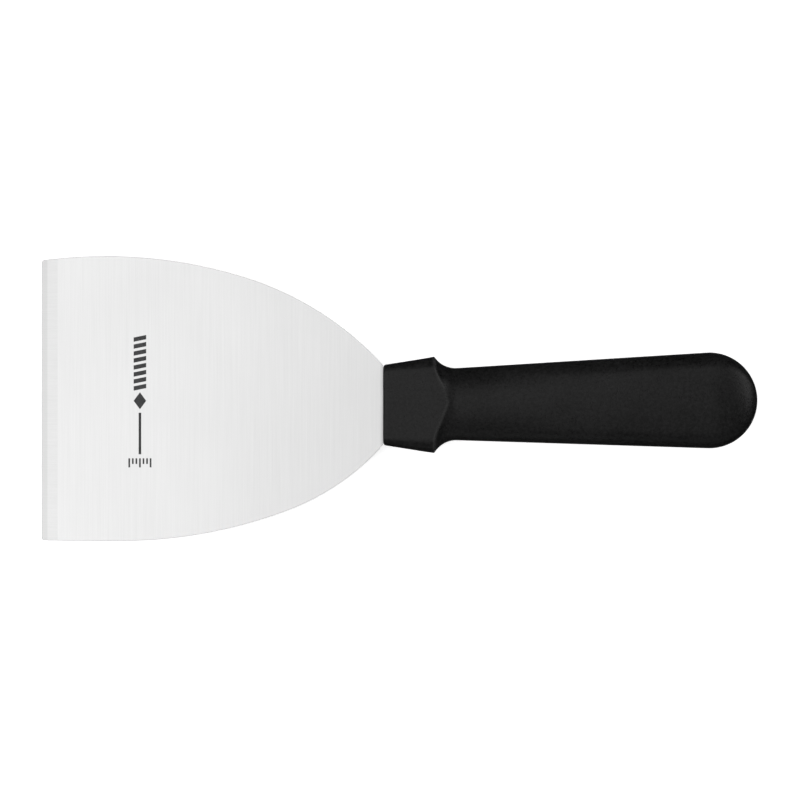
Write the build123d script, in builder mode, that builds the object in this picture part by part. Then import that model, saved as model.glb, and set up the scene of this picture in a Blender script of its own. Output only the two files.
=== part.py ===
from build123d import *
import math
import os

# Ink knife: a broad ground steel blade whose tang is held in a moulded plastic handle.
# Millimetres. X runs from the working edge of the blade to the butt of the handle,
# Y across the blade, Z square to the blade. The origin is under the middle of the
# overall length and width, level with the lowest point of the handle.

# ---- overall ----
overall_length = 251.5
handle_length = 131.5
handle_thickness = 18.0
mid_z = handle_thickness / 2
edge_x = -overall_length / 2
face_x = overall_length / 2 - handle_length

# ---- blade ----
blade_half_width = 50.0
blade_thickness = 1.5
corner_radius = 1.0
edge_break = 0.15
# Each flank swells from the corner to the widest point, then curves in on two tangent arcs.
# The knife is ground a little out of square, so the two flanks differ slightly.
right_flank = {
    "corner_drop": 1.43,
    "widest": 22.8,
    "front_radius": 164.0,
    "front_sweep": 17.1,
    "rear_radius": 110.5,
}
left_flank = {
    "corner_drop": 0.17,
    "widest": 27.9,
    "front_radius": 167.0,
    "front_sweep": 20.4,
    "rear_radius": 85.0,
}

# ---- ground working edge: a shallow bevel and then a steeper one, on both faces ----
shallow_start = 5.7
steep_start = 2.1
steep_half_thickness = 0.5
edge_half_thickness = 0.2

# ---- tang, left at the full thickness of the stock ----
stock_thickness = 1.6
grind_gap = 0.7
grind_run_out = 0.15
tang_length = 85.0
tang_root_width = 16.0
tang_end_width = 12.0
tang_root_fillet = 3.0
tang_end_radius = 5.0
tang_hole_radius = 3.0
tang_hole_distances = (20.0, 45.0, 70.0)

# ---- handle guard ----
guard_y = -2.3
guard_front_width = 28.15
guard_front_thickness = 14.8
guard_front_corner = 3.0
guard_rear_width = 36.35
guard_rear_thickness = 17.9
guard_rear_corner = 7.0
front_edge_fillet = 1.0

# ---- handle neck and grip ----
neck_distance = 25.6
neck_y = -2.0
neck_width = 25.35
neck_thickness = 16.6
neck_side_share = 0.70
flare_radius = 8.5
grip_share = 0.60
grip_side_share = 0.88
butt_y = -0.66
butt_radius = 16.85
butt_thickness = 17.4

neck_x = face_x + neck_distance
flare_x = neck_x - flare_radius
butt_x = overall_length / 2 - butt_radius
grip_x = neck_x + grip_share * (butt_x - neck_x)
grip_width = neck_width + grip_share * (2 * butt_radius - neck_width)


def handle_axis_y(x):
    """Y of the handle's own axis, which leans slightly across the blade."""
    return neck_y + (butt_y - neck_y) * (x - neck_x) / (butt_x - neck_x)


def draw_flank(flank, side, end_x):
    """Draw one flank from the working edge to end_x and return its last point."""
    corner = (edge_x, side * (blade_half_width - flank["corner_drop"]))
    widest = (edge_x + flank["widest"], side * blade_half_width)
    TangentArc(widest, corner, tangent=(-1, 0))
    front_turn = math.radians(flank["front_sweep"])
    front_end_x = widest[0] + flank["front_radius"] * math.sin(front_turn)
    rear_sine = math.sin(front_turn) + (end_x - front_end_x) / flank["rear_radius"]
    rear_sweep = math.degrees(math.asin(rear_sine)) - flank["front_sweep"]
    front = JernArc(widest, (1, 0), flank["front_radius"], -side * flank["front_sweep"])
    rear = JernArc(front @ 1, front % 1, flank["rear_radius"], -side * rear_sweep)
    return rear @ 1


def draw_oval(width, thickness, side_share):
    """Draw a closed oval of four tangent arcs round the origin of the sketch.

    side_share is the radius of the two side arcs as a share of half the thickness.
    """
    side_radius = side_share * thickness / 2
    side_centre = width / 2 - side_radius
    rise = thickness / 2 - side_radius
    crown_radius = side_radius + (side_centre**2 + rise**2) / (2 * rise)
    crown_centre = crown_radius - thickness / 2
    join_angle = math.degrees(math.atan2(crown_centre, side_centre))
    CenterArc((side_centre, 0), side_radius, -join_angle, 2 * join_angle)
    CenterArc((0, -crown_centre), crown_radius, join_angle, 180 - 2 * join_angle)
    CenterArc((-side_centre, 0), side_radius, 180 - join_angle, 2 * join_angle)
    CenterArc((0, crown_centre), crown_radius, 180 + join_angle, 180 - 2 * join_angle)


def handle_plane(x, y):
    """The plane square to the knife at x, centred on the handle."""
    return Plane((x, y, mid_z), x_dir=(0, 1, 0), z_dir=(1, 0, 0))


# ---- blade with its tang ----
tang_end_x = face_x + tang_length
root_y = handle_axis_y(face_x)
end_y = handle_axis_y(tang_end_x)
half_blade = blade_thickness / 2
half_stock = stock_thickness / 2

with BuildPart() as blade:
    with BuildSketch(Plane.XY.offset(mid_z - half_stock)) as blank:
        with BuildLine():
            right_shoulder = draw_flank(right_flank, 1, face_x)
            left_shoulder = draw_flank(left_flank, -1, face_x)
            Line(
                (edge_x, blade_half_width - right_flank["corner_drop"]),
                (edge_x, left_flank["corner_drop"] - blade_half_width),
            )
            Polyline(
                right_shoulder,
                (face_x, root_y + tang_root_width / 2),
                (tang_end_x, end_y + tang_end_width / 2),
                (tang_end_x, end_y - tang_end_width / 2),
                (face_x, root_y - tang_root_width / 2),
                left_shoulder,
            )
        make_face()
        fillet(blank.vertices().group_by(Axis.X)[0], radius=corner_radius)
        fillet(blank.vertices().group_by(Axis.X)[-1], radius=tang_end_radius)
        shoulder_corners = blank.vertices().filter_by_position(Axis.X, face_x - 0.01, face_x + 0.01)
        fillet(shoulder_corners.sort_by(Axis.Y)[1:-1], radius=tang_root_fillet)
        hole_centres = [(face_x + d, handle_axis_y(face_x + d)) for d in tang_hole_distances]
        with Locations(*hole_centres):
            Circle(tang_hole_radius, mode=Mode.SUBTRACT)
    extrude(amount=stock_thickness)

    # Section along the knife: bevels at the working edge, ground faces, full stock at the tang.
    grind_x = face_x - grind_gap
    with BuildSketch(Plane((0, 0, mid_z), x_dir=(1, 0, 0), z_dir=(0, -1, 0))):
        with BuildLine():
            section = Polyline(
                (edge_x, 0),
                (edge_x, edge_half_thickness),
                (edge_x + steep_start, steep_half_thickness),
                (edge_x + shallow_start, half_blade),
                (grind_x - grind_run_out, half_blade),
                (grind_x, half_stock),
                (tang_end_x, half_stock),
                (tang_end_x, 0),
            )
            mirror(section, about=Plane.XZ)
        make_face()
    extrude(amount=blade_half_width + 1, both=True, mode=Mode.INTERSECT)

    # The stamped outline has its corners taken off on both faces.
    for face_z in (mid_z - half_blade, mid_z + half_blade):
        level_faces = blade.faces().filter_by(Axis.Z)
        ground_face = level_faces.filter_by_position(Axis.Z, face_z - 0.01, face_z + 0.01)[0]
        rim = ground_face.edges().filter_by(Axis.Y, reverse=True)
        chamfer(rim, length=edge_break)

blade.part.label = "blade"

# ---- moulded handle ----
with BuildPart() as handle:
    # The neck rises out of a wide block through a concave flare.
    with BuildSketch(handle_plane(flare_x, guard_y)):
        Rectangle(3 * guard_rear_width, 3 * guard_rear_thickness)
    extrude(amount=-handle_length / 4)
    with BuildSketch(handle_plane(flare_x, neck_y)):
        with BuildLine():
            draw_oval(neck_width, neck_thickness, neck_side_share)
        make_face()
    extrude(amount=2 * flare_radius)
    neck_root = handle.edges().filter_by(GeomType.CIRCLE).group_by(Axis.X)[0]
    fillet(neck_root, radius=flare_radius)

    # The guard, a rounded rectangle that grows backward, cuts the flare off along a V-shaped ridge.
    with BuildSketch(handle_plane(face_x, guard_y)):
        RectangleRounded(guard_front_width, guard_front_thickness, guard_front_corner)
    with BuildSketch(handle_plane(neck_x, guard_y)):
        RectangleRounded(guard_rear_width, guard_rear_thickness, guard_rear_corner)
    loft(ruled=True, mode=Mode.INTERSECT)
    fillet(handle.faces().sort_by(Axis.X)[0].edges(), radius=front_edge_fillet)

    # The grip swells from the neck to the butt; its oval grows flatter above and below.
    with BuildSketch(handle_plane(neck_x, neck_y)):
        with BuildLine():
            draw_oval(neck_width, neck_thickness, neck_side_share)
        make_face()
    with BuildSketch(handle_plane(grip_x, handle_axis_y(grip_x))):
        with BuildLine():
            draw_oval(grip_width, handle_thickness, grip_side_share)
        make_face()
    with BuildSketch(handle_plane(butt_x, butt_y)):
        with BuildLine():
            draw_oval(2 * butt_radius, butt_thickness, grip_side_share)
        make_face()
    loft()

    # The butt is half round in plan: the oval turned about its middle.
    with BuildSketch(handle_plane(butt_x, butt_y)):
        with BuildLine():
            draw_oval(2 * butt_radius, butt_thickness, grip_side_share)
        make_face()
        with Locations((butt_radius, 0)):
            Rectangle(2 * butt_radius, 2 * butt_thickness, mode=Mode.SUBTRACT)
    revolve(axis=Axis((butt_x, butt_y, mid_z), (0, 0, 1)), revolution_arc=180)

    # The plastic fills everything round the tang, and its holes.
    add(blade.part, mode=Mode.SUBTRACT)

handle.part.label = "handle"

os.makedirs("parts", exist_ok=True)
export_step(blade.part, "parts/blade.step")
export_step(handle.part, "parts/handle.step")
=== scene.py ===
import math

import bmesh
import bpy
import numpy as np
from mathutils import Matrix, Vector

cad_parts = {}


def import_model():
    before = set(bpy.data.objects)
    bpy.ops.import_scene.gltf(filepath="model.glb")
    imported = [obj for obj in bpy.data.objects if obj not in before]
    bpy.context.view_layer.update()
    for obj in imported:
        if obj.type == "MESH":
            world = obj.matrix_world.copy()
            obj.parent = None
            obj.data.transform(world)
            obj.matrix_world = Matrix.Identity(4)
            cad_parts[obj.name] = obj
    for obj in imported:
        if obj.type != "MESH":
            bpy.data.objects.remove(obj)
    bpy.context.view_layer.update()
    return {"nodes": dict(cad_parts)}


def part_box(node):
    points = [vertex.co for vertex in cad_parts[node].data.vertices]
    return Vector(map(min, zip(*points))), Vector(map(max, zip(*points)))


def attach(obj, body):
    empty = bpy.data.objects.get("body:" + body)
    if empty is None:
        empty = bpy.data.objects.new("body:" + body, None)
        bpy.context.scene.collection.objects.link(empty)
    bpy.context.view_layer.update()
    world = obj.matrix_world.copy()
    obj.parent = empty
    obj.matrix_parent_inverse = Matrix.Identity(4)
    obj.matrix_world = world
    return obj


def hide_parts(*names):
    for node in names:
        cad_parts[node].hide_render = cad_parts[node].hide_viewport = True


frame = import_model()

# Ink knife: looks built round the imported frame. Metres; X runs from the working edge to the
# butt of the handle, Y across the blade, Z square to the blade. A distance along the handle is
# measured from its front face.
MM = 0.001
blade_low, blade_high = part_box("blade")
handle_low, handle_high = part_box("handle")
EDGE_X = blade_low.x
FACE_X = handle_low.x
MID_Z = (handle_low.z + handle_high.z) / 2
HANDLE_LENGTH = handle_high.x - handle_low.x
GRIP_PEAK_HALF_THICKNESS = (handle_high.z - handle_low.z) / 2

# ---- sizes that the frame's boxes don't give, the same as in the part's source ----
BLADE_THICKNESS = 1.5 * MM
SHALLOW_BEVEL = 5.7 * MM
STEEP_BEVEL = 2.1 * MM
GUARD_Y = -2.3 * MM
FRONT_ROUNDING = 1.0 * MM
NECK_DISTANCE = 25.6 * MM
NECK_Y = -2.0 * MM
NECK_SIDE_SHARE = 0.70
GRIP_PEAK_SHARE = 0.60
GRIP_SIDE_SHARE = 0.88
BUTT_Y = -0.66 * MM
# Half the width, half the thickness and, for the guard, the corner radius.
GUARD_FRONT = (14.075 * MM, 7.4 * MM, 3.0 * MM)
GUARD_REAR = (18.175 * MM, 8.95 * MM, 7.0 * MM)
NECK = (12.675 * MM, 8.3 * MM)
BUTT_HALF_THICKNESS = 8.7 * MM

# ---- fine shape of the moulding ----
GRIP_SLOPE = 0.0470
LEAN_START = 13.5 * MM
RIDGE_AT_TOP = 22.6 * MM
RIDGE_AT_SIDES = 18.0 * MM
RIDGE_HALF_WIDTH = 12.3 * MM
RIDGE_OFFSET_Y = 0.9 * MM
RIDGE_TOP_ROUNDING = 0.5 * MM
RIDGE_END_ROUNDING = 0.2
RIDGE_SOFTNESS = 0.5 * MM
RIDGE_ZONE = 1.2 * MM
CREST_SLOPE = 0.055
CREST_ROUNDING = 0.6 * MM
PARTING_HEIGHT = 0.10 * MM
PARTING_WIDTH = 0.22 * MM
# Edge wear along the guard's ridge that also carries a painted highlight: the plastic is coloured paler
# there.
RIDGE_WEAR_AND_HIGHLIGHT = "ridge_wear_and_highlight"
RIDGE_WEAR_AND_HIGHLIGHT_WIDTH = 0.55 * MM

# ---- how finely the handle's mesh is divided ----
DIRECTION_COUNT = 256
PARTING_TURNS = (0.006, 0.012, 0.020, 0.030)
FACE_SHARES = (0.25, 0.5, 0.75)
ROUNDING_RINGS = 6
GUARD_RINGS = 19
RIDGE_RINGS = 24
FLARE_RINGS = 15
GRIP_RINGS = 59
BUTT_RINGS = 39
BUTT_LAST_ANGLE = 0.492 * math.pi

# ---- steel, where its finish changes and where the handle's shade is painted on ----
BEVEL_BLUR = 0.1 * MM
# Where the painted contact shade on the steel in front of the handle's face begins and where it is full.
CONTACT_SHADE_START = FACE_X - 1.35 * MM
CONTACT_SHADE_END = FACE_X - 0.60 * MM

# ---- generic etched mark ----
MARK_X = EDGE_X + 34.6 * MM
MARK_TOP_Y = 22.8 * MM
MARK_END_Y = -24.2 * MM
MARK_WIDTH = 4.4 * MM
MARK_DEPTH = 0.012 * MM
STROKE_COUNT = 8
STROKE_PITCH = 2.45 * MM
STROKE_HEIGHT = 0.62 * STROKE_PITCH
STROKE_SLANT = 0.9 * MM
DIAMOND_DROP = 4.0 * MM
DIAMOND_HALF_HEIGHT = 3.0 * MM
RULE_DROP = 4.2 * MM
RULE_WIDTH = 0.9 * MM
RULE_END_Y = MARK_END_Y + 4.6 * MM
TICK_COUNT = 7
TICK_PITCH = 1.25 * MM
TICK_WIDTH = 0.6 * MM
LONG_TICK = 3.2 * MM
SHORT_TICK = 2.0 * MM

# ---- floor, light and camera ----
FLOOR_HALF = 3.0
PANEL_HEIGHT = 0.9
PANEL_LEFT = -1.6
PANEL_TOP_Y = 0.9
PANEL_SPLIT_Y = -0.16
PANEL_CORNER_Y = 0.25
SIDE_PANEL_DISTANCE = 1.4
CAMERA_DISTANCE = 1.6
CAMERA_X = 0.19 * MM
CAMERA_Y = -0.53 * MM
FRAME_WIDTH = 281.1 * MM
SENSOR_WIDTH = 36.0


# ------------------------------------------------------------------ node helpers
def new_material(name):
    """A node material with its Principled shader, its Object coordinates and its node tree."""
    material = bpy.data.materials.new(name)
    material.use_nodes = True
    tree = material.node_tree
    shader = tree.nodes["Principled BSDF"]
    coordinates = tree.nodes.new("ShaderNodeTexCoord").outputs["Object"]
    return material, tree, shader, coordinates


def stretched(tree, vector, scale, turn=0.0):
    """The vector multiplied along each axis, after a turn about Z that slants the streaks."""
    mapping = tree.nodes.new("ShaderNodeMapping")
    mapping.vector_type = "TEXTURE"
    mapping.inputs["Rotation"].default_value = (0.0, 0.0, turn)
    mapping.inputs["Scale"].default_value = [1 / factor for factor in scale]
    tree.links.new(vector, mapping.inputs["Vector"])
    return mapping.outputs["Vector"]


def noise(tree, vector, scale=1.0, detail=2.0, roughness=0.5):
    """The value of a noise texture, from 0 to 1."""
    texture = tree.nodes.new("ShaderNodeTexNoise")
    texture.inputs["Scale"].default_value = scale
    texture.inputs["Detail"].default_value = detail
    texture.inputs["Roughness"].default_value = roughness
    tree.links.new(vector, texture.inputs["Vector"])
    return texture.outputs["Fac"]


def ranged(tree, value, low, high, to_low=0.0, to_high=1.0, smooth=False):
    """The value taken from low..high to to_low..to_high, and held at the ends."""
    node = tree.nodes.new("ShaderNodeMapRange")
    node.interpolation_type = "SMOOTHSTEP" if smooth else "LINEAR"
    node.inputs["From Min"].default_value = low
    node.inputs["From Max"].default_value = high
    node.inputs["To Min"].default_value = to_low
    node.inputs["To Max"].default_value = to_high
    tree.links.new(value, node.inputs["Value"])
    return node.outputs["Result"]


def feed(tree, socket, value):
    """Links another node's socket, or sets a number or an RGB triple."""
    if isinstance(value, bpy.types.NodeSocket):
        tree.links.new(value, socket)
    elif isinstance(value, tuple):
        socket.default_value = (*value, 1.0)
    else:
        socket.default_value = value


def maths(tree, operation, *values):
    """One Math node; each value may be a socket or a number."""
    node = tree.nodes.new("ShaderNodeMath")
    node.operation = operation
    for socket, value in zip(node.inputs, values):
        feed(tree, socket, value)
    return node.outputs["Value"]


def weighted_sum(tree, *terms):
    """The sum of pairs of a socket and its weight."""
    total = 0.0
    for socket, weight in terms:
        total = maths(tree, "MULTIPLY_ADD", socket, weight, total)
    return total


def mixed(tree, share, first, second, kind="RGBA"):
    """A colour, or a number if kind is FLOAT, between first and second by share."""
    node = tree.nodes.new("ShaderNodeMix")
    node.data_type = kind
    feed(tree, node.inputs["Factor"], share)
    feed(tree, node.inputs["A"], first)
    feed(tree, node.inputs["B"], second)
    return node.outputs["Result"]


def grey(value):
    """A neutral colour."""
    return (value, value, value)


def axes_of(tree, vector):
    """The X, Y and Z of a vector."""
    node = tree.nodes.new("ShaderNodeSeparateXYZ")
    tree.links.new(vector, node.inputs["Vector"])
    return node.outputs


def bumped(tree, shader, height, depth):
    """Feeds a height in 0..1, depth metres deep, to the shader's normal."""
    bump = tree.nodes.new("ShaderNodeBump")
    bump.inputs["Strength"].default_value = 1.0
    bump.inputs["Distance"].default_value = depth
    tree.links.new(height, bump.inputs["Height"])
    tree.links.new(bump.outputs["Normal"], shader.inputs["Normal"])


# ------------------------------------------------------------------ materials
def before(tree, along, end):
    """1 up to an end along X and 0 past it, with a short ramp between."""
    return ranged(tree, along, end - BEVEL_BLUR, end + BEVEL_BLUR, 1.0, 0.0)


def sheared_rim(tree):
    """1 on the blade's rim, which leans far from level, and 0 on its faces and bevels."""
    normal = tree.nodes.new("ShaderNodeTexCoord").outputs["Normal"]
    upright = axes_of(tree, normal)["Z"]
    return ranged(tree, maths(tree, "MULTIPLY", upright, upright), 0.6, 0.9, 1.0, 0.0)


def ground_steel():
    """Satin ground stainless steel: lines along the edge, lines across it on the bevels, a matt rim, and
    painted contact shade just in front of the handle.
    """
    material, tree, shader, place = new_material("ground_steel")
    along = axes_of(tree, place)["X"]
    on_bevel = before(tree, along, EDGE_X + SHALLOW_BEVEL)
    on_steep = before(tree, along, EDGE_X + STEEP_BEVEL)
    # Painted contact shade: the steel is made darker just in front of the handle's face, where the handle
    # shades it.
    painted_contact_shade = ranged(tree, along, CONTACT_SHADE_START, CONTACT_SHADE_END)
    on_rim = sheared_rim(tree)
    across = noise(tree, stretched(tree, place, (2600, 30, 30)), detail=2.0, roughness=0.6)
    honed = noise(tree, stretched(tree, place, (120, 2400, 120)), detail=2.0)
    lines = mixed(tree, on_bevel, across, honed, kind="FLOAT")
    cloud = noise(tree, place, scale=28.0, detail=3.0)
    smear = noise(tree, stretched(tree, place, (60, 14, 14), 0.35), detail=4.0, roughness=0.65)

    # The bevels are darker for their finish; the third term is painted contact shade in front of the
    # handle.
    darker = ((on_bevel, -0.16), (on_steep, -0.24), (painted_contact_shade, -0.38))
    tone = weighted_sum(tree, (lines, 0.30), (cloud, 0.16), *darker)
    colour = mixed(tree, ranged(tree, tone, -0.27, 0.73), grey(0.42), grey(0.65))
    colour = mixed(tree, on_rim, colour, grey(0.80))
    smooth = ranged(tree, smear, 0.3, 0.7, 0.26, 0.28)
    rough = weighted_sum(tree, (smooth, 1.0), (lines, 0.04), (on_bevel, 0.03), (on_rim, 0.30))
    tree.links.new(colour, shader.inputs["Base Color"])
    tree.links.new(rough, shader.inputs["Roughness"])
    tree.links.new(ranged(tree, on_rim, 0.0, 1.0, 1.0, 0.5), shader.inputs["Metallic"])
    bumped(tree, shader, lines, 0.0016 * MM)
    return material


def moulded_plastic():
    """Black plastic with a fine spark-eroded grain, rubbed smoother along the guard's ridge and painted
    paler there: edge wear and a painted highlight.
    """
    material, tree, shader, place = new_material("moulded_plastic")
    grain = noise(tree, place, scale=2300.0, detail=3.0, roughness=0.7)
    coarse = noise(tree, place, scale=900.0, detail=2.0)
    cloud = noise(tree, place, scale=45.0, detail=3.0)
    flow = noise(tree, stretched(tree, place, (18, 110, 110)), detail=2.0)
    speckle = weighted_sum(tree, (grain, 0.6), (coarse, 0.4))
    wear = tree.nodes.new("ShaderNodeAttribute")
    wear.attribute_name = RIDGE_WEAR_AND_HIGHLIGHT
    rubbed_and_highlighted = maths(tree, "MULTIPLY", wear.outputs["Fac"], ranged(tree, cloud, 0.35, 0.65, 0.5, 1.0))

    tone = weighted_sum(tree, (speckle, 0.8), (cloud, 0.2))
    colour = mixed(tree, ranged(tree, tone, 0.42, 0.68), grey(0.0020), (0.0135, 0.0135, 0.0137))
    # Paler colour along the ridge: partly edge wear, partly a painted highlight.
    colour = mixed(tree, rubbed_and_highlighted, colour, grey(0.0280))
    broad = ranged(tree, flow, 0.3, 0.7, 0.31, 0.37)
    fine = ranged(tree, speckle, 0.35, 0.65, -0.08, 0.08)
    rough = weighted_sum(tree, (broad, 1.0), (fine, 1.0), (rubbed_and_highlighted, -0.10))
    tree.links.new(colour, shader.inputs["Base Color"])
    tree.links.new(rough, shader.inputs["Roughness"])
    shader.inputs["Specular IOR Level"].default_value = 0.17
    bumped(tree, shader, speckle, 0.14 * MM)
    return material


def oxide_mark():
    """Dark grey electro-etched mark with worn, speckled tone."""
    material, tree, shader, place = new_material("oxide_mark")
    speckle = noise(tree, place, scale=3200.0, detail=3.0)
    wear = noise(tree, place, scale=400.0, detail=2.0)
    tone = weighted_sum(tree, (speckle, 0.6), (wear, 0.4))
    shade = ranged(tree, tone, 0.35, 0.75)
    colour = mixed(tree, shade, (0.022, 0.022, 0.023), (0.075, 0.075, 0.077))
    tree.links.new(colour, shader.inputs["Base Color"])
    tree.links.new(ranged(tree, speckle, 0.3, 0.7, 0.5, 0.7), shader.inputs["Roughness"])
    shader.inputs["Specular IOR Level"].default_value = 0.3
    bumped(tree, shader, speckle, 0.01 * MM)
    return material


def pale_floor():
    """Matt white table top, lit from within so that shadows stay faint."""
    material, tree, shader, place = new_material("pale_floor")
    shade = noise(tree, place, scale=3.0, detail=2.0)
    tree.links.new(mixed(tree, shade, grey(0.86), grey(0.88)), shader.inputs["Base Color"])
    shader.inputs["Roughness"].default_value = 0.9
    shader.inputs["Specular IOR Level"].default_value = 0.1
    shader.inputs["Emission Color"].default_value = (*grey(1.0), 1.0)
    shader.inputs["Emission Strength"].default_value = 0.7
    return material


# ------------------------------------------------------------------ mesh helpers
def finished_mesh(bm, name):
    """Turns the working mesh into a named mesh and frees it."""
    bmesh.ops.recalc_face_normals(bm, faces=bm.faces)
    mesh = bpy.data.meshes.new(name)
    bm.to_mesh(mesh)
    bm.free()
    return mesh


def add_piece(name, mesh, material):
    """Puts a finished mesh in the scene as a piece that rides on the knife's one body."""
    piece = bpy.data.objects.new(name, mesh)
    bpy.context.scene.collection.objects.link(piece)
    mesh.materials.append(material)
    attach(piece, "root")
    return piece


# ------------------------------------------------------------------ handle
def rounded_radius(cosine, sine, half_width, half_thickness, corner):
    """Distance from the centre of a rounded rectangle to its edge, along each direction."""
    across, up = np.maximum(np.abs(cosine), 1e-9), np.maximum(np.abs(sine), 1e-9)
    corner_y, corner_z = half_width - corner, half_thickness - corner
    on_top, on_side = half_thickness / up, half_width / across
    middle = across * corner_y + up * corner_z
    off_line = across * corner_z - up * corner_y
    on_corner = middle + np.sqrt(np.maximum(corner**2 - off_line**2, 0.0))
    beside = np.where(on_side * up <= corner_z, on_side, on_corner)
    return np.where(on_top * across <= corner_y, on_top, beside)


def oval_radius(cosine, sine, half_width, half_thickness, side_share):
    """The same for an oval of four arcs; the side arcs' radius is that share of half the thickness."""
    side = side_share * half_thickness
    centre_y = half_width - side
    crown = (centre_y**2 + half_thickness**2 - side**2) / (2 * (half_thickness - side))
    centre_z = crown - half_thickness
    across, up = np.abs(cosine), np.abs(sine)
    on_side = centre_y * across + np.sqrt(np.maximum(side**2 - (centre_y * up) ** 2, 0.0))
    on_crown = np.sqrt(crown**2 - (centre_z * across) ** 2) - centre_z * up
    reach = side / math.hypot(centre_y, centre_z)
    join_y, join_z = centre_y + centre_y * reach, centre_z * reach
    return np.where(up * join_y > across * join_z, on_crown, on_side)


def soft_minimum(first, second, softness):
    """The smaller of two, with the crossing rounded off."""
    share = np.clip(0.5 + 0.5 * (second - first) / softness, 0.0, 1.0)
    return second * (1 - share) + first * share - softness * share * (1 - share)


def blend_step(value, low, high):
    """0 below low, 1 above high and a smooth curve between them."""
    t = np.clip((value - low) / (high - low), 0.0, 1.0)
    return t * t * (3 - 2 * t)


def ring_directions():
    """Directions round the handle, closer together at the parting line on each side."""
    even = np.linspace(0, 2 * math.pi, DIRECTION_COUNT, endpoint=False)
    near = np.array(PARTING_TURNS)
    turns = np.concatenate([even, near, -near, near + math.pi, math.pi - near])
    turns = np.unique(np.round(np.mod(turns, 2 * math.pi), 6))
    angles = np.arctan2(NECK[1] * np.sin(turns), NECK[0] * np.cos(turns))
    return np.cos(angles), np.sin(angles)


def butt_arc():
    """Radius and distance of the arc that ends the handle, tangent to the tapered sides."""
    wide = GRIP_SLOPE * (HANDLE_LENGTH - NECK_DISTANCE) + NECK[0]
    radius = wide / (math.sqrt(1 + GRIP_SLOPE**2) + GRIP_SLOPE)
    return radius, HANDLE_LENGTH - radius


def guard_radius(distance, cosine, sine):
    """The guard's section, which grows evenly from the front face."""
    share = distance / NECK_DISTANCE
    section = [a + (b - a) * share for a, b in zip(GUARD_FRONT, GUARD_REAR)]
    return rounded_radius(cosine, sine, *section)


def ridge_distance(cosine, sine):
    """How far behind the front face the guard ends: a V above and below, straight round the sides."""
    lateral = guard_radius(RIDGE_AT_SIDES, cosine, sine) * cosine - RIDGE_OFFSET_Y
    lateral = np.hypot(lateral, RIDGE_TOP_ROUNDING) - RIDGE_TOP_ROUNDING
    share = soft_minimum(lateral / RIDGE_HALF_WIDTH, 1.0, RIDGE_END_ROUNDING)
    return RIDGE_AT_TOP - (RIDGE_AT_TOP - RIDGE_AT_SIDES) * share


def flare_radius(distance, cosine, sine):
    """The hollow behind the ridge: in each direction an arc that leaves the neck along it."""
    neck = oval_radius(cosine, sine, *NECK, NECK_SIDE_SHARE)
    ridge = ridge_distance(cosine, sine)
    rise = guard_radius(ridge, cosine, sine) - neck
    run = NECK_DISTANCE - ridge
    arc = (run**2 + rise**2) / (2 * rise)
    reach = np.clip(NECK_DISTANCE - distance, 0.0, arc)
    return neck + arc - np.sqrt(arc**2 - reach**2)


def front_ring(distance, cosine, sine):
    """Y and Z of the guard and the flare at a distance for each direction."""
    radius = guard_radius(distance, cosine, sine)
    flare = flare_radius(distance, cosine, sine)
    radius = soft_minimum(radius, flare, RIDGE_SOFTNESS)
    edge = np.maximum(FRONT_ROUNDING - distance, 0.0)
    radius = radius - (FRONT_ROUNDING - np.sqrt(FRONT_ROUNDING**2 - edge**2))
    turn = blend_step(distance, LEAN_START, NECK_DISTANCE)
    centre_y = GUARD_Y + (NECK_Y - GUARD_Y) * turn
    ridge = ridge_distance(cosine, sine)
    crest = CREST_SLOPE * np.clip((distance - ridge) / (NECK_DISTANCE - ridge), 0.0, 1.0)
    return finished_ring(radius, centre_y, crest, NECK[1], cosine, sine)


def grip_ring(distance, cosine, sine):
    """Y and Z of the grip and the butt at one distance."""
    butt_radius, butt_centre = butt_arc()
    along = (distance - NECK_DISTANCE) / (butt_centre - NECK_DISTANCE)
    axis_y = NECK_Y + (BUTT_Y - NECK_Y) * min(along, 1.0)
    fall = (along - GRIP_PEAK_SHARE) / GRIP_PEAK_SHARE
    half_width = NECK[0] + GRIP_SLOPE * (distance - NECK_DISTANCE)
    half_thickness = GRIP_PEAK_HALF_THICKNESS - (GRIP_PEAK_HALF_THICKNESS - NECK[1]) * fall**2
    if distance > butt_centre - butt_radius * GRIP_SLOPE:
        half_width = math.sqrt(max(butt_radius**2 - (distance - butt_centre) ** 2, 0.0))
        half_thickness = BUTT_HALF_THICKNESS * half_width / butt_radius
    side_share = NECK_SIDE_SHARE + (GRIP_SIDE_SHARE - NECK_SIDE_SHARE) * blend_step(along, 0.0, 0.5)
    radius = oval_radius(cosine, sine, half_width, half_thickness, side_share)
    crest = CREST_SLOPE * (1 - blend_step(along, 0.1, 1.0))
    return finished_ring(radius, axis_y, crest, half_thickness, cosine, sine)


def finished_ring(radius, centre_y, crest, half_thickness, cosine, sine):
    """Adds the parting line at the sides and the soft crest along the middle to a section."""
    parting = PARTING_HEIGHT * np.exp(-((radius * sine / PARTING_WIDTH) ** 2))
    radius = radius - PARTING_HEIGHT + parting
    across = radius * cosine
    lowered = crest * (np.hypot(across, CREST_ROUNDING) - CREST_ROUNDING) / half_thickness
    return centre_y + across, MID_Z + radius * sine * (1 - lowered)


def steps(count, end=1.0):
    """Even steps to the end, without the start."""
    return np.linspace(0, end, count + 1)[1:]


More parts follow.
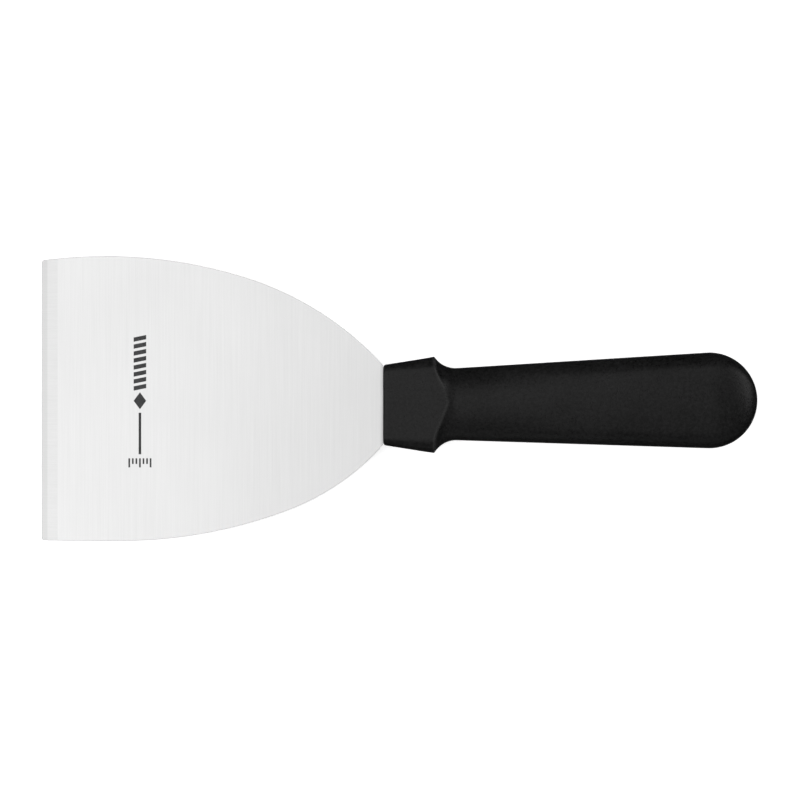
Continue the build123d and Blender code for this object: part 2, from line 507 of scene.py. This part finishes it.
def handle_rings():
    """Points, and the ridge's edge wear with its painted highlight, of every ring from the front face to
    the butt; the rings follow the ridge.
    """
    cosine, sine = ring_directions()
    butt_radius, butt_centre = butt_arc()
    ridge = ridge_distance(cosine, sine)
    everywhere = np.ones_like(cosine)
    guard_run = ridge - RIDGE_ZONE - FRONT_ROUNDING
    flare_start = ridge + RIDGE_ZONE
    front = [0 * everywhere]
    front += [FRONT_ROUNDING * (1 - math.cos(t)) * everywhere for t in steps(ROUNDING_RINGS, math.pi / 2)]
    front += [FRONT_ROUNDING + guard_run * t for t in steps(GUARD_RINGS)]
    front += [ridge - RIDGE_ZONE + t for t in steps(RIDGE_RINGS, 2 * RIDGE_ZONE)]
    front += [flare_start + (NECK_DISTANCE - flare_start) * t for t in steps(FLARE_RINGS)]
    grip = NECK_DISTANCE + steps(GRIP_RINGS, butt_centre - NECK_DISTANCE)
    butt = butt_centre + butt_radius * np.sin(steps(BUTT_RINGS, BUTT_LAST_ANGLE))
    rings = [(distance, *front_ring(distance, cosine, sine)) for distance in front]
    rings += [(distance * everywhere, *grip_ring(distance, cosine, sine)) for distance in (*grip, *butt)]
    finished = []
    for distance, y, z in rings:
        # Edge wear and painted highlight, strongest on the ridge.
        wear = np.exp(-(((distance - ridge) / RIDGE_WEAR_AND_HIGHLIGHT_WIDTH) ** 2))
        finished.append((np.column_stack((FACE_X + distance, y, z)), wear))
    return finished


def build_handle():
    """The moulded handle as one closed skin: front face, guard, ridge, neck, grip and butt."""
    bm = bmesh.new()
    outer = handle_rings()
    centre = np.array((FACE_X, GUARD_Y, MID_Z))
    face, wear = outer[0]
    rings = [(centre + (face - centre) * share, wear) for share in FACE_SHARES] + outer
    wear_and_highlight_layer = bm.verts.layers.float.new(RIDGE_WEAR_AND_HIGHLIGHT)
    loops = []
    for points, wear in rings:
        loops.append([bm.verts.new(point) for point in points])
        for vert, amount in zip(loops[-1], wear):
            vert[wear_and_highlight_layer] = amount
    count = len(loops[0])
    for near, far in zip(loops, loops[1:]):
        for i in range(count):
            j = (i + 1) % count
            bm.faces.new((near[i], near[j], far[j], far[i]))
    front = bm.verts.new(centre)
    tip = bm.verts.new((FACE_X + HANDLE_LENGTH, BUTT_Y, MID_Z))
    for i in range(count):
        j = (i + 1) % count
        bm.faces.new((front, loops[0][j], loops[0][i]))
        bm.faces.new((tip, loops[-1][i], loops[-1][j]))
    mesh = finished_mesh(bm, "handle_moulding")
    mesh.shade_smooth()
    return mesh


handle = add_piece("handle_moulding", build_handle(), moulded_plastic())
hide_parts("handle")


# ------------------------------------------------------------------ blade
blade = frame["nodes"]["blade"]
blade.data.materials.clear()
blade.data.materials.append(ground_steel())


# ------------------------------------------------------------------ generic etched mark
def prism(bm, outline, low_z, high_z):
    """A closed flat-sided prism over an outline of (x, y) points."""
    lower = [bm.verts.new((x, y, low_z)) for x, y in outline]
    upper = [bm.verts.new((x, y, high_z)) for x, y in outline]
    bm.faces.new(list(reversed(lower)))
    bm.faces.new(upper)
    for i in range(len(outline)):
        j = (i + 1) % len(outline)
        bm.faces.new((lower[i], lower[j], upper[j], upper[i]))


def slanted_stroke(x, y, width, height, slant):
    """Four corners of a stroke whose ends are shifted along Y by the slant."""
    half = width / 2
    return [
        (x - half, y - slant / 2),
        (x + half, y + slant / 2),
        (x + half, y + slant / 2 + height),
        (x - half, y - slant / 2 + height),
    ]


def diamond(x, y, half_width, half_height):
    """Four corners of an upright diamond round a point."""
    return [(x, y - half_height), (x + half_width, y), (x, y + half_height), (x - half_width, y)]


def build_mark():
    """A plain column of strokes, a diamond, a rule and a short scale of ticks; it says nothing."""
    outlines = []
    for row in range(STROKE_COUNT):
        y = MARK_TOP_Y - (row + 1) * STROKE_PITCH
        outlines.append(slanted_stroke(MARK_X, y, MARK_WIDTH, STROKE_HEIGHT, STROKE_SLANT))
    diamond_y = MARK_TOP_Y - STROKE_COUNT * STROKE_PITCH - DIAMOND_DROP
    outlines.append(diamond(MARK_X, diamond_y, MARK_WIDTH / 2, DIAMOND_HALF_HEIGHT))
    rule_height = diamond_y - RULE_DROP - RULE_END_Y
    outlines.append(slanted_stroke(MARK_X, RULE_END_Y, RULE_WIDTH, rule_height, 0.0))
    for tick in range(TICK_COUNT):
        x = MARK_X + (tick - TICK_COUNT // 2) * TICK_PITCH
        height = LONG_TICK if tick % 3 == 0 else SHORT_TICK
        outlines.append(slanted_stroke(x, MARK_END_Y + LONG_TICK - height, TICK_WIDTH, height, 0.0))
    surface = MID_Z + BLADE_THICKNESS / 2
    bm = bmesh.new()
    for outline in outlines:
        prism(bm, outline, surface - MARK_DEPTH, surface + MARK_DEPTH)
    return finished_mesh(bm, "etched_mark")


add_piece("etched_mark", build_mark(), oxide_mark())


# ------------------------------------------------------------------ floor, lights and camera
def build_floor():
    """A level table top that the knife lies on."""
    bm = bmesh.new()
    signs = ((-1, -1), (1, -1), (1, 1), (-1, 1))
    corners = [(FLOOR_HALF * x, FLOOR_HALF * y) for x, y in signs]
    bm.faces.new([bm.verts.new((x, y, 0.0)) for x, y in corners])
    mesh = finished_mesh(bm, "floor")
    floor = bpy.data.objects.new("floor", mesh)
    bpy.context.scene.collection.objects.link(floor)
    mesh.materials.append(pale_floor())
    # The dark handle must not mirror the white floor round its rim.
    floor.visible_glossy = False


def area_light(name, place, toward, width, height, radiance):
    """A rectangular light panel that faces the point toward; radiance is how bright it looks."""
    data = bpy.data.lights.new(name, "AREA")
    data.shape = "RECTANGLE"
    data.size = width
    data.size_y = height
    data.energy = radiance * math.pi * width * height
    light = bpy.data.objects.new(name, data)
    bpy.context.scene.collection.objects.link(light)
    light.location = place
    light.rotation_mode = "QUATERNION"
    light.rotation_quaternion = (Vector(toward) - Vector(place)).to_track_quat("-Z", "Y")
    light.visible_camera = False


def ceiling_panel(name, x_range, y_range, radiance, height=PANEL_HEIGHT):
    """A level light panel overhead, between those X and Y limits."""
    x, y = sum(x_range) / 2, sum(y_range) / 2
    size = (x_range[1] - x_range[0], y_range[1] - y_range[0])
    area_light(name, (x, y, height), (x, y, 0.0), *size, radiance)


def standing_panel(name, azimuth, elevation, width, height, radiance):
    """A light panel beside the knife, seen from it at that azimuth from +X and that elevation."""
    turn, rise = math.radians(azimuth), math.radians(elevation)
    direction = Vector((math.cos(turn) * math.cos(rise), math.sin(turn) * math.cos(rise), math.sin(rise)))
    area_light(name, direction * SIDE_PANEL_DISTANCE, (0.0, 0.0, 0.0), width, height, radiance)


def light_world():
    """Soft light from all round, dimmer from below the horizon."""
    world = bpy.data.worlds.new("studio")
    bpy.context.scene.world = world
    world.use_nodes = True
    tree = world.node_tree
    background = tree.nodes["Background"]
    background.inputs["Color"].default_value = (*grey(1.0), 1.0)
    direction = tree.nodes.new("ShaderNodeTexCoord").outputs["Generated"]
    glow = ranged(tree, axes_of(tree, direction)["Z"], -0.08, 0.12, 0.03, 0.17, smooth=True)
    tree.links.new(glow, background.inputs["Strength"])


def light_studio():
    """Level panels overhead, brightest over the blade and dim past the handle, and two at the sides."""
    upper = (PANEL_SPLIT_Y, PANEL_TOP_Y)
    middle = (PANEL_SPLIT_Y, PANEL_CORNER_Y)
    ceiling_panel("main_panel", (PANEL_LEFT, 0.10), upper, radiance=1.50)
    ceiling_panel("right_panel", (0.10, 0.35), middle, radiance=0.12)
    ceiling_panel("far_right_panel", (0.35, 1.25), middle, radiance=0.32)
    ceiling_panel("corner_panel", (0.15, 1.1), (PANEL_CORNER_Y, PANEL_TOP_Y), radiance=0.7)
    ceiling_panel("front_panel", (PANEL_LEFT, 0.9), (-1.3, PANEL_SPLIT_Y), radiance=0.34)
    # Panels at one height hide each other where they overlap, so this one hangs a little lower.
    lower = PANEL_HEIGHT - 0.04
    ceiling_panel("blade_panel", (PANEL_LEFT, -0.06), (-0.60, -0.14), radiance=1.55, height=lower)
    standing_panel("end_panel", azimuth=18.0, elevation=17.0, width=1.0, height=0.6, radiance=2.8)
    standing_panel("side_panel", azimuth=285.0, elevation=5.0, width=2.0, height=0.5, radiance=0.40)


def place_camera():
    """Straight above the knife, blade to the left."""
    data = bpy.data.cameras.new("camera")
    camera = bpy.data.objects.new("camera", data)
    bpy.context.scene.collection.objects.link(camera)
    data.sensor_width = SENSOR_WIDTH
    data.lens = SENSOR_WIDTH * CAMERA_DISTANCE / FRAME_WIDTH
    data.clip_end = 20.0
    camera.location = (CAMERA_X, CAMERA_Y, MID_Z + CAMERA_DISTANCE)
    camera.rotation_euler = (0.0, 0.0, 0.0)
    bpy.context.scene.camera = camera


build_floor()
light_world()
light_studio()
place_camera()
bpy.context.scene.view_settings.view_transform = "Standard"
